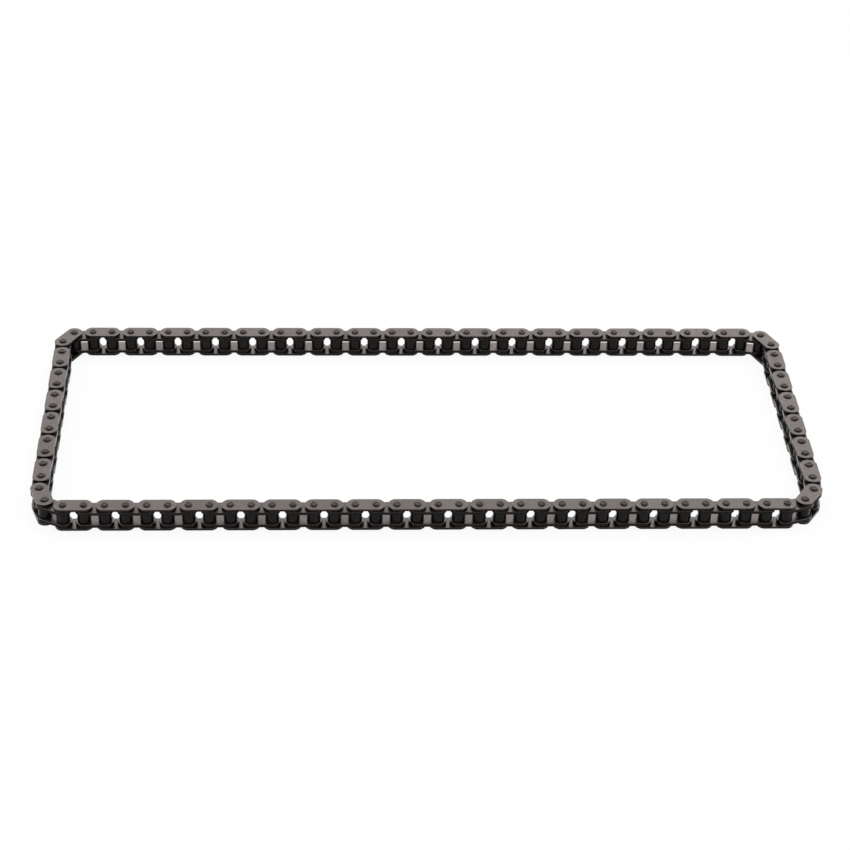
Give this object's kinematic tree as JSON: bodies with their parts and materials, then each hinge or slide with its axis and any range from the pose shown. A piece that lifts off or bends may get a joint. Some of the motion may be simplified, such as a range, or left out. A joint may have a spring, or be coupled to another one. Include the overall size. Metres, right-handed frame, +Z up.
{
  "type": "timing chain",
  "caption": "Endless simplex roller chain laid on its side in a long rounded rectangle, with riveted pins, stamped link plates and dark rollers.",
  "frame": {"origin": "middle of the loop's footprint, on the plane of the lower pin ends that the chain rests on", "axes": "+X along the front run to the right, +Y across the loop to the rear run, +Z up along the pins"},
  "size_m": [0.3694, 0.1538, 0.0133],
  "materials": {
    "plate_steel": "stamped and tumbled steel, satin grey with a brown cast",
    "inner_plate_steel": "stamped and tumbled steel, satin grey",
    "pin_steel": "hardened pin with riveted ends, dark brown grey",
    "bush_steel": "hardened curled bush, dark grey",
    "roller_steel": "hardened and oiled roller, near black"
  },
  "bodies": {
    "front_left_links_8": {"front_left_links_8": "plate_steel"},
    "front_left_links_7": {"front_left_links_7": "plate_steel"},
    "front_left_links_6": {"front_left_links_6": "plate_steel"},
    "front_left_links_5": {"front_left_links_5": "plate_steel"},
    "front_left_links_4": {"front_left_links_4": "plate_steel"},
    "front_left_links_3": {"front_left_links_3": "plate_steel"},
    "front_left_links_2": {"front_left_links_2": "plate_steel"},
    "front_left_links_1": {"front_left_links_1": "plate_steel"},
    "closing_link": {"closing_link_bottom_plate": "plate_steel", "closing_link_top_plate": "plate_steel", "closing_link_pins": "pin_steel"},
    "front_inner_link": {"front_inner_link_bottom_plate": "inner_plate_steel", "front_inner_link_top_plate": "inner_plate_steel", "front_inner_link_bushes": "bush_steel"},
    "front_right_links_1": {"front_right_links_1": "plate_steel"},
    "front_right_links_2": {"front_right_links_2": "plate_steel"},
    "front_right_links_3": {"front_right_links_3": "plate_steel"},
    "front_right_links_4": {"front_right_links_4": "plate_steel"},
    "front_right_links_5": {"front_right_links_5": "plate_steel"},
    "front_right_links_6": {"front_right_links_6": "plate_steel"},
    "front_right_links_7": {"front_right_links_7": "plate_steel"},
    "front_right_links_8": {"front_right_links_8": "plate_steel"},
    "front_right_end_link": {"front_right_end_link": "plate_steel"},
    "front_right_corner_links": {"front_right_corner_links": "plate_steel"},
    "right_side_links_1": {"right_side_links_1": "plate_steel"},
    "right_side_links_2": {"right_side_links_2": "plate_steel"},
    "right_side_links_3": {"right_side_links_3": "plate_steel"},
    "right_side_links_4": {"right_side_links_4": "plate_steel"},
    "right_side_links_5": {"right_side_links_5": "plate_steel"},
    "right_side_links_6": {"right_side_links_6": "plate_steel"},
    "rear_right_corner_links": {"rear_right_corner_links": "plate_steel"},
    "rear_right_links_8": {"rear_right_links_8": "plate_steel"},
    "rear_right_links_7": {"rear_right_links_7": "plate_steel"},
    "rear_right_links_6": {"rear_right_links_6": "plate_steel"},
    "rear_right_links_5": {"rear_right_links_5": "plate_steel"},
    "rear_right_links_4": {"rear_right_links_4": "plate_steel"},
    "rear_right_links_3": {"rear_right_links_3": "plate_steel"},
    "rear_right_links_2": {"rear_right_links_2": "plate_steel"},
    "rear_right_links_1": {"rear_right_links_1": "plate_steel"},
    "rear_outer_link": {"rear_outer_link": "plate_steel"},
    "rear_inner_link": {"rear_inner_link": "plate_steel"},
    "rear_left_links_1": {"rear_left_links_1": "plate_steel"},
    "rear_left_links_2": {"rear_left_links_2": "plate_steel"},
    "rear_left_links_3": {"rear_left_links_3": "plate_steel"},
    "rear_left_links_4": {"rear_left_links_4": "plate_steel"},
    "rear_left_links_5": {"rear_left_links_5": "plate_steel"},
    "rear_left_links_6": {"rear_left_links_6": "plate_steel"},
    "rear_left_links_7": {"rear_left_links_7": "plate_steel"},
    "rear_left_links_8": {"rear_left_links_8": "plate_steel"},
    "rear_left_end_link": {"rear_left_end_link": "plate_steel"},
    "rear_left_corner_links": {"rear_left_corner_links": "plate_steel"},
    "left_side_links_6": {"left_side_links_6": "plate_steel"},
    "left_side_links_5": {"left_side_links_5": "plate_steel"},
    "left_side_links_4": {"left_side_links_4": "plate_steel"},
    "left_side_links_3": {"left_side_links_3": "plate_steel"},
    "left_side_links_2": {"left_side_links_2": "plate_steel"},
    "left_side_links_1": {"left_side_links_1": "plate_steel"},
    "front_left_corner_links": {"front_left_corner_links": "plate_steel"},
    "left_roller": {"front_inner_link_left_roller": "roller_steel"},
    "right_roller": {"front_inner_link_right_roller": "roller_steel"}
  },
  "joints": [
    {"name": "front_inner_link_pivot", "type": "hinge", "parent": "closing_link", "child": "front_inner_link", "pos_m": [-0.0065, -0.07282, 0.00666], "axis": [0, 0, 1], "range_deg": [-8, 8]},
    {"name": "front_right_links_1_pivot", "type": "hinge", "parent": "front_inner_link", "child": "front_right_links_1", "pos_m": [0.00303, -0.07282, 0.00666], "axis": [0, 0, 1], "range_deg": [-8, 8]},
    {"name": "front_right_links_2_pivot", "type": "hinge", "parent": "front_right_links_1", "child": "front_right_links_2", "pos_m": [0.02208, -0.07282, 0.00666], "axis": [0, 0, 1], "range_deg": [-8, 8]},
    {"name": "front_right_links_3_pivot", "type": "hinge", "parent": "front_right_links_2", "child": "front_right_links_3", "pos_m": [0.04113, -0.07282, 0.00666], "axis": [0, 0, 1], "range_deg": [-8, 8]},
    {"name": "front_right_links_4_pivot", "type": "hinge", "parent": "front_right_links_3", "child": "front_right_links_4", "pos_m": [0.06018, -0.07282, 0.00666], "axis": [0, 0, 1], "range_deg": [-8, 8]},
    {"name": "front_right_links_5_pivot", "type": "hinge", "parent": "front_right_links_4", "child": "front_right_links_5", "pos_m": [0.07923, -0.07282, 0.00666], "axis": [0, 0, 1], "range_deg": [-8, 8]},
    {"name": "front_right_links_6_pivot", "type": "hinge", "parent": "front_right_links_5", "child": "front_right_links_6", "pos_m": [0.09828, -0.07282, 0.00666], "axis": [0, 0, 1], "range_deg": [-8, 8]},
    {"name": "front_right_links_7_pivot", "type": "hinge", "parent": "front_right_links_6", "child": "front_right_links_7", "pos_m": [0.11733, -0.07282, 0.00666], "axis": [0, 0, 1], "range_deg": [-8, 8]},
    {"name": "front_right_links_8_pivot", "type": "hinge", "parent": "front_right_links_7", "child": "front_right_links_8", "pos_m": [0.13638, -0.07282, 0.00666], "axis": [0, 0, 1], "range_deg": [-8, 8]},
    {"name": "front_right_end_link_pivot", "type": "hinge", "parent": "front_right_links_8", "child": "front_right_end_link", "pos_m": [0.15543, -0.07282, 0.00666], "axis": [0, 0, 1], "range_deg": [-8, 8]},
    {"name": "front_right_corner_links_pivot", "type": "hinge", "parent": "front_right_end_link", "child": "front_right_corner_links", "pos_m": [0.16495, -0.07282, 0.00666], "axis": [0, 0, 1], "range_deg": [-25, 25]},
    {"name": "right_side_links_1_pivot", "type": "hinge", "parent": "front_right_corner_links", "child": "right_side_links_1", "pos_m": [0.18061, -0.05236, 0.00666], "axis": [0, 0, 1], "range_deg": [-15, 15]},
    {"name": "right_side_links_2_pivot", "type": "hinge", "parent": "right_side_links_1", "child": "right_side_links_2", "pos_m": [0.18061, -0.03331, 0.00666], "axis": [0, 0, 1], "range_deg": [-14, 14]},
    {"name": "right_side_links_3_pivot", "type": "hinge", "parent": "right_side_links_2", "child": "right_side_links_3", "pos_m": [0.18061, -0.01426, 0.00666], "axis": [0, 0, 1], "range_deg": [-7, 7]},
    {"name": "right_side_links_4_pivot", "type": "hinge", "parent": "right_side_links_3", "child": "right_side_links_4", "pos_m": [0.18061, 0.00479, 0.00666], "axis": [0, 0, 1], "range_deg": [-14, 14]},
    {"name": "right_side_links_5_pivot", "type": "hinge", "parent": "right_side_links_4", "child": "right_side_links_5", "pos_m": [0.18061, 0.02384, 0.00666], "axis": [0, 0, 1], "range_deg": [-7, 7]},
    {"name": "right_side_links_6_pivot", "type": "hinge", "parent": "right_side_links_5", "child": "right_side_links_6", "pos_m": [0.18061, 0.04289, 0.00666], "axis": [0, 0, 1], "range_deg": [-14, 14]},
    {"name": "rear_right_corner_links_pivot", "type": "hinge", "parent": "right_side_links_6", "child": "rear_right_corner_links", "pos_m": [0.18061, 0.06194, 0.00666], "axis": [0, 0, 1], "range_deg": [-15, 15]},
    {"name": "rear_right_links_8_pivot", "type": "hinge", "parent": "rear_right_corner_links", "child": "rear_right_links_8", "pos_m": [0.16727, 0.07282, 0.00666], "axis": [0, 0, 1], "range_deg": [-25, 25]},
    {"name": "rear_right_links_7_pivot", "type": "hinge", "parent": "rear_right_links_8", "child": "rear_right_links_7", "pos_m": [0.14822, 0.07282, 0.00666], "axis": [0, 0, 1], "range_deg": [-8, 8]},
    {"name": "rear_right_links_6_pivot", "type": "hinge", "parent": "rear_right_links_7", "child": "rear_right_links_6", "pos_m": [0.12917, 0.07282, 0.00666], "axis": [0, 0, 1], "range_deg": [-8, 8]},
    {"name": "rear_right_links_5_pivot", "type": "hinge", "parent": "rear_right_links_6", "child": "rear_right_links_5", "pos_m": [0.11012, 0.07282, 0.00666], "axis": [0, 0, 1], "range_deg": [-8, 8]},
    {"name": "rear_right_links_4_pivot", "type": "hinge", "parent": "rear_right_links_5", "child": "rear_right_links_4", "pos_m": [0.09107, 0.07282, 0.00666], "axis": [0, 0, 1], "range_deg": [-8, 8]},
    {"name": "rear_right_links_3_pivot", "type": "hinge", "parent": "rear_right_links_4", "child": "rear_right_links_3", "pos_m": [0.07202, 0.07282, 0.00666], "axis": [0, 0, 1], "range_deg": [-8, 8]},
    {"name": "rear_right_links_2_pivot", "type": "hinge", "parent": "rear_right_links_3", "child": "rear_right_links_2", "pos_m": [0.05297, 0.07282, 0.00666], "axis": [0, 0, 1], "range_deg": [-8, 8]},
    {"name": "rear_right_links_1_pivot", "type": "hinge", "parent": "rear_right_links_2", "child": "rear_right_links_1", "pos_m": [0.03392, 0.07282, 0.00666], "axis": [0, 0, 1], "range_deg": [-8, 8]},
    {"name": "rear_outer_link_pivot", "type": "hinge", "parent": "rear_right_links_1", "child": "rear_outer_link", "pos_m": [0.01487, 0.07282, 0.00666], "axis": [0, 0, 1], "range_deg": [-8, 8]},
    {"name": "front_left_links_1_pivot", "type": "hinge", "parent": "closing_link", "child": "front_left_links_1", "pos_m": [-0.01602, -0.07282, 0.00666], "axis": [0, 0, 1], "range_deg": [-8, 8]},
    {"name": "front_left_links_2_pivot", "type": "hinge", "parent": "front_left_links_1", "child": "front_left_links_2", "pos_m": [-0.03507, -0.07282, 0.00666], "axis": [0, 0, 1], "range_deg": [-8, 8]},
    {"name": "front_left_links_3_pivot", "type": "hinge", "parent": "front_left_links_2", "child": "front_left_links_3", "pos_m": [-0.05412, -0.07282, 0.00666], "axis": [0, 0, 1], "range_deg": [-8, 8]},
    {"name": "front_left_links_4_pivot", "type": "hinge", "parent": "front_left_links_3", "child": "front_left_links_4", "pos_m": [-0.07317, -0.07282, 0.00666], "axis": [0, 0, 1], "range_deg": [-8, 8]},
    {"name": "front_left_links_5_pivot", "type": "hinge", "parent": "front_left_links_4", "child": "front_left_links_5", "pos_m": [-0.09222, -0.07282, 0.00666], "axis": [0, 0, 1], "range_deg": [-8, 8]},
    {"name": "front_left_links_6_pivot", "type": "hinge", "parent": "front_left_links_5", "child": "front_left_links_6", "pos_m": [-0.11127, -0.07282, 0.00666], "axis": [0, 0, 1], "range_deg": [-8, 8]},
    {"name": "front_left_links_7_pivot", "type": "hinge", "parent": "front_left_links_6", "child": "front_left_links_7", "pos_m": [-0.13032, -0.07282, 0.00666], "axis": [0, 0, 1], "range_deg": [-8, 8]},
    {"name": "front_left_links_8_pivot", "type": "hinge", "parent": "front_left_links_7", "child": "front_left_links_8", "pos_m": [-0.14937, -0.07282, 0.00666], "axis": [0, 0, 1], "range_deg": [-8, 8]},
    {"name": "front_left_corner_links_pivot", "type": "hinge", "parent": "front_left_links_8", "child": "front_left_corner_links", "pos_m": [-0.16842, -0.07282, 0.00666], "axis": [0, 0, 1], "range_deg": [-25, 25]},
    {"name": "left_side_links_1_pivot", "type": "hinge", "parent": "front_left_corner_links", "child": "left_side_links_1", "pos_m": [-0.18026, -0.05978, 0.00666], "axis": [0, 0, 1], "range_deg": [-15, 15]},
    {"name": "left_side_links_2_pivot", "type": "hinge", "parent": "left_side_links_1", "child": "left_side_links_2", "pos_m": [-0.18026, -0.04073, 0.00666], "axis": [0, 0, 1], "range_deg": [-14, 14]},
    {"name": "left_side_links_3_pivot", "type": "hinge", "parent": "left_side_links_2", "child": "left_side_links_3", "pos_m": [-0.18026, -0.02168, 0.00666], "axis": [0, 0, 1], "range_deg": [-7, 7]},
    {"name": "left_side_links_4_pivot", "type": "hinge", "parent": "left_side_links_3", "child": "left_side_links_4", "pos_m": [-0.18026, -0.00263, 0.00666], "axis": [0, 0, 1], "range_deg": [-14, 14]},
    {"name": "left_side_links_5_pivot", "type": "hinge", "parent": "left_side_links_4", "child": "left_side_links_5", "pos_m": [-0.18026, 0.01642, 0.00666], "axis": [0, 0, 1], "range_deg": [-7, 7]},
    {"name": "left_side_links_6_pivot", "type": "hinge", "parent": "left_side_links_5", "child": "left_side_links_6", "pos_m": [-0.18026, 0.03547, 0.00666], "axis": [0, 0, 1], "range_deg": [-14, 14]},
    {"name": "rear_left_corner_links_pivot", "type": "hinge", "parent": "left_side_links_6", "child": "rear_left_corner_links", "pos_m": [-0.18026, 0.05452, 0.00666], "axis": [0, 0, 1], "range_deg": [-15, 15]},
    {"name": "rear_left_end_link_pivot", "type": "hinge", "parent": "rear_left_corner_links", "child": "rear_left_end_link", "pos_m": [-0.1661, 0.07282, 0.00666], "axis": [0, 0, 1], "range_deg": [-25, 25]},
    {"name": "rear_left_links_8_pivot", "type": "hinge", "parent": "rear_left_end_link", "child": "rear_left_links_8", "pos_m": [-0.15658, 0.07282, 0.00666], "axis": [0, 0, 1], "range_deg": [-8, 8]},
    {"name": "rear_left_links_7_pivot", "type": "hinge", "parent": "rear_left_links_8", "child": "rear_left_links_7", "pos_m": [-0.13753, 0.07282, 0.00666], "axis": [0, 0, 1], "range_deg": [-8, 8]},
    {"name": "rear_left_links_6_pivot", "type": "hinge", "parent": "rear_left_links_7", "child": "rear_left_links_6", "pos_m": [-0.11848, 0.07282, 0.00666], "axis": [0, 0, 1], "range_deg": [-8, 8]},
    {"name": "rear_left_links_5_pivot", "type": "hinge", "parent": "rear_left_links_6", "child": "rear_left_links_5", "pos_m": [-0.09943, 0.07282, 0.00666], "axis": [0, 0, 1], "range_deg": [-8, 8]},
    {"name": "rear_left_links_4_pivot", "type": "hinge", "parent": "rear_left_links_5", "child": "rear_left_links_4", "pos_m": [-0.08038, 0.07282, 0.00666], "axis": [0, 0, 1], "range_deg": [-8, 8]},
    {"name": "rear_left_links_3_pivot", "type": "hinge", "parent": "rear_left_links_4", "child": "rear_left_links_3", "pos_m": [-0.06133, 0.07282, 0.00666], "axis": [0, 0, 1], "range_deg": [-8, 8]},
    {"name": "rear_left_links_2_pivot", "type": "hinge", "parent": "rear_left_links_3", "child": "rear_left_links_2", "pos_m": [-0.04228, 0.07282, 0.00666], "axis": [0, 0, 1], "range_deg": [-8, 8]},
    {"name": "rear_left_links_1_pivot", "type": "hinge", "parent": "rear_left_links_2", "child": "rear_left_links_1", "pos_m": [-0.02323, 0.07282, 0.00666], "axis": [0, 0, 1], "range_deg": [-8, 8]},
    {"name": "rear_inner_link_pivot", "type": "hinge", "parent": "rear_left_links_1", "child": "rear_inner_link", "pos_m": [-0.00418, 0.07282, 0.00666], "axis": [0, 0, 1], "range_deg": [-8, 8]},
    {"name": "left_roller_spin", "type": "hinge", "parent": "front_inner_link", "child": "left_roller", "pos_m": [-0.0065, -0.07282, 0.00666], "axis": [0, 0, 1], "continuous": true},
    {"name": "right_roller_spin", "type": "hinge", "parent": "front_inner_link", "child": "right_roller", "pos_m": [0.00303, -0.07282, 0.00666], "axis": [0, 0, 1], "continuous": true}
  ],
  "couplings": [
    {"joint": "front_right_links_1_pivot", "follows": "front_inner_link_pivot", "ratio": 1},
    {"joint": "front_right_links_3_pivot", "follows": "front_right_links_2_pivot", "ratio": 1},
    {"joint": "front_right_links_5_pivot", "follows": "front_right_links_4_pivot", "ratio": -1},
    {"joint": "front_right_links_6_pivot", "follows": "front_right_links_2_pivot", "ratio": -1},
    {"joint": "front_right_links_7_pivot", "follows": "front_right_links_2_pivot", "ratio": -1},
    {"joint": "front_right_links_8_pivot", "follows": "front_inner_link_pivot", "ratio": -1},
    {"joint": "front_right_end_link_pivot", "follows": "front_inner_link_pivot", "ratio": -1},
    {"joint": "right_side_links_3_pivot", "follows": "right_side_links_2_pivot", "ratio": -0.5},
    {"joint": "right_side_links_4_pivot", "follows": "right_side_links_2_pivot", "ratio": -1},
    {"joint": "right_side_links_5_pivot", "follows": "right_side_links_2_pivot", "ratio": -0.5},
    {"joint": "right_side_links_6_pivot", "follows": "right_side_links_2_pivot", "ratio": 1},
    {"joint": "rear_right_corner_links_pivot", "follows": "right_side_links_1_pivot", "ratio": -1},
    {"joint": "rear_right_links_8_pivot", "follows": "front_right_corner_links_pivot", "ratio": -1},
    {"joint": "rear_right_links_6_pivot", "follows": "rear_right_links_7_pivot", "ratio": 1},
    {"joint": "rear_right_links_4_pivot", "follows": "rear_right_links_5_pivot", "ratio": 1},
    {"joint": "rear_right_links_3_pivot", "follows": "rear_right_links_5_pivot", "ratio": -1},
    {"joint": "rear_right_links_2_pivot", "follows": "rear_right_links_5_pivot", "ratio": -1},
    {"joint": "rear_right_links_1_pivot", "follows": "rear_right_links_7_pivot", "ratio": -1},
    {"joint": "rear_outer_link_pivot", "follows": "rear_right_links_7_pivot", "ratio": -1},
    {"joint": "front_left_links_1_pivot", "follows": "rear_right_links_7_pivot", "ratio": 1},
    {"joint": "front_left_links_2_pivot", "follows": "rear_right_links_7_pivot", "ratio": 1},
    {"joint": "front_left_links_3_pivot", "follows": "rear_right_links_5_pivot", "ratio": 1},
    {"joint": "front_left_links_4_pivot", "follows": "rear_right_links_5_pivot", "ratio": 1},
    {"joint": "front_left_links_5_pivot", "follows": "rear_right_links_5_pivot", "ratio": -1},
    {"joint": "front_left_links_6_pivot", "follows": "rear_right_links_5_pivot", "ratio": -1},
    {"joint": "front_left_links_7_pivot", "follows": "rear_right_links_7_pivot", "ratio": -1},
    {"joint": "front_left_links_8_pivot", "follows": "rear_right_links_7_pivot", "ratio": -1},
    {"joint": "front_left_corner_links_pivot", "follows": "front_right_corner_links_pivot", "ratio": 1},
    {"joint": "left_side_links_1_pivot", "follows": "right_side_links_1_pivot", "ratio": 1},
    {"joint": "left_side_links_2_pivot", "follows": "right_side_links_2_pivot", "ratio": -1},
    {"joint": "left_side_links_3_pivot", "follows": "right_side_links_2_pivot", "ratio": 0.5},
    {"joint": "left_side_links_4_pivot", "follows": "right_side_links_2_pivot", "ratio": 1},
    {"joint": "left_side_links_5_pivot", "follows": "right_side_links_2_pivot", "ratio": 0.5},
    {"joint": "left_side_links_6_pivot", "follows": "right_side_links_2_pivot", "ratio": -1},
    {"joint": "rear_left_corner_links_pivot", "follows": "right_side_links_1_pivot", "ratio": -1},
    {"joint": "rear_left_end_link_pivot", "follows": "front_right_corner_links_pivot", "ratio": -1},
    {"joint": "rear_left_links_8_pivot", "follows": "front_inner_link_pivot", "ratio": 1},
    {"joint": "rear_left_links_7_pivot", "follows": "front_inner_link_pivot", "ratio": 1},
    {"joint": "rear_left_links_6_pivot", "follows": "front_right_links_2_pivot", "ratio": 1},
    {"joint": "rear_left_links_5_pivot", "follows": "front_right_links_2_pivot", "ratio": 1},
    {"joint": "rear_left_links_4_pivot", "follows": "front_right_links_4_pivot", "ratio": 1},
    {"joint": "rear_left_links_3_pivot", "follows": "front_right_links_4_pivot", "ratio": -1},
    {"joint": "rear_left_links_2_pivot", "follows": "front_right_links_2_pivot", "ratio": -1},
    {"joint": "rear_left_links_1_pivot", "follows": "front_right_links_2_pivot", "ratio": -1},
    {"joint": "rear_inner_link_pivot", "follows": "front_inner_link_pivot", "ratio": -1}
  ]
}
